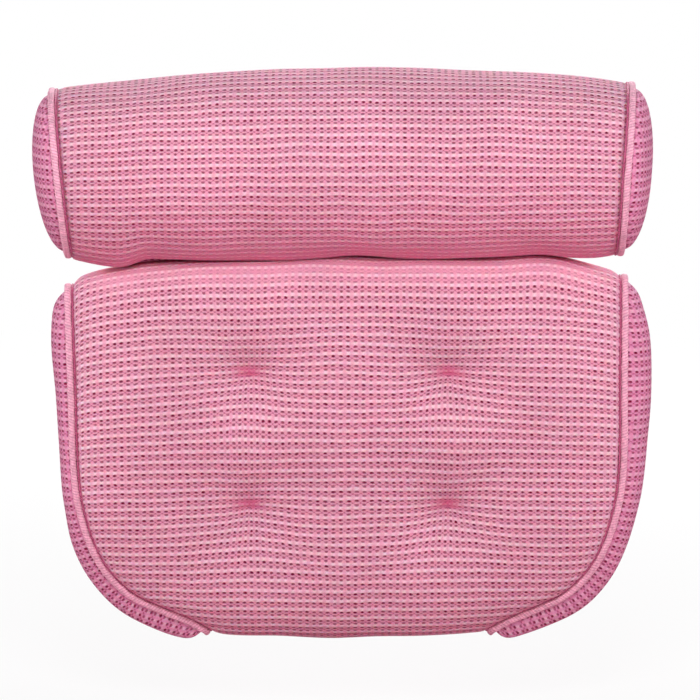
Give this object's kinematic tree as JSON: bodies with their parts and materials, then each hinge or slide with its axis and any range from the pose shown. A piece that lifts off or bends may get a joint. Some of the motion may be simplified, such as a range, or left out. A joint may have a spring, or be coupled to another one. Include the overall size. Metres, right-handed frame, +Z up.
{
  "type": "bath pillow",
  "caption": "Bath pillow with a neck roll that folds over the tub's rim, a tufted back pad in knitted air mesh, and swivelling suction cups behind.",
  "frame": {"origin": "on the plane of the suction cups' rims, which is the tub's wall, in the middle of the fold line between the roll and the pad", "axes": "+X across the pillow to the right as the bather faces it, +Y from the bather into the tub's wall, +Z up"},
  "size_m": [0.3791, 0.105, 0.3544],
  "materials": {
    "air_mesh": "pink knitted polyester spacer mesh, matt with a soft sheen",
    "welt": "pink ribbed seam binding, tightly overlocked",
    "tie_thread": "dark pink bonded polyester thread",
    "filling": "white polyester fibre",
    "cup_vinyl": "clear soft vinyl, moulded and glossy"
  },
  "bodies": {
    "pad": {"pad_cover": "air_mesh", "pad_filling": "filling", "pad_side_left": "air_mesh", "pad_side_right": "air_mesh", "pad_welt_left": "welt", "pad_welt_right": "welt", "tuft_tie_1": "tie_thread", "tuft_tie_2": "tie_thread", "tuft_tie_3": "tie_thread", "tuft_tie_4": "tie_thread", "pad_hinge_leaf": "air_mesh", "cup_patch_1": "air_mesh", "cup_patch_2": "air_mesh", "cup_patch_3": "air_mesh", "cup_patch_4": "air_mesh"},
    "neck_roll": {"roll_cover": "air_mesh", "roll_filling": "filling", "roll_end_left": "air_mesh", "roll_end_right": "air_mesh", "roll_welt_left": "welt", "roll_welt_right": "welt", "roll_hinge_leaf": "air_mesh", "cup_patch_5": "air_mesh", "cup_patch_6": "air_mesh"},
    "cup_1": {"suction_cup_1": "cup_vinyl"},
    "cup_2": {"suction_cup_2": "cup_vinyl"},
    "cup_3": {"suction_cup_3": "cup_vinyl"},
    "cup_4": {"suction_cup_4": "cup_vinyl"},
    "cup_5": {"suction_cup_5": "cup_vinyl"},
    "cup_6": {"suction_cup_6": "cup_vinyl"}
  },
  "joints": [
    {"name": "neck_roll_fold", "type": "hinge", "parent": "pad", "child": "neck_roll", "pos_m": [0, -0.0118, 0], "axis": [-1, 0, 0], "range_deg": [0, 120]},
    {"name": "cup_1_swivel", "type": "hinge", "parent": "pad", "child": "cup_1", "pos_m": [-0.1082, 0, -0.058], "axis": [0, 1, 0], "continuous": true},
    {"name": "cup_2_swivel", "type": "hinge", "parent": "pad", "child": "cup_2", "pos_m": [0.1158, 0, -0.058], "axis": [0, 1, 0], "continuous": true},
    {"name": "cup_3_swivel", "type": "hinge", "parent": "pad", "child": "cup_3", "pos_m": [-0.0882, 0, -0.172], "axis": [0, 1, 0], "continuous": true},
    {"name": "cup_4_swivel", "type": "hinge", "parent": "pad", "child": "cup_4", "pos_m": [0.0958, 0, -0.172], "axis": [0, 1, 0], "continuous": true},
    {"name": "cup_5_swivel", "type": "hinge", "parent": "neck_roll", "child": "cup_5", "pos_m": [-0.105, 0, 0.0586], "axis": [0, 1, 0], "continuous": true},
    {"name": "cup_6_swivel", "type": "hinge", "parent": "neck_roll", "child": "cup_6", "pos_m": [0.105, 0, 0.0586], "axis": [0, 1, 0], "continuous": true}
  ]
}
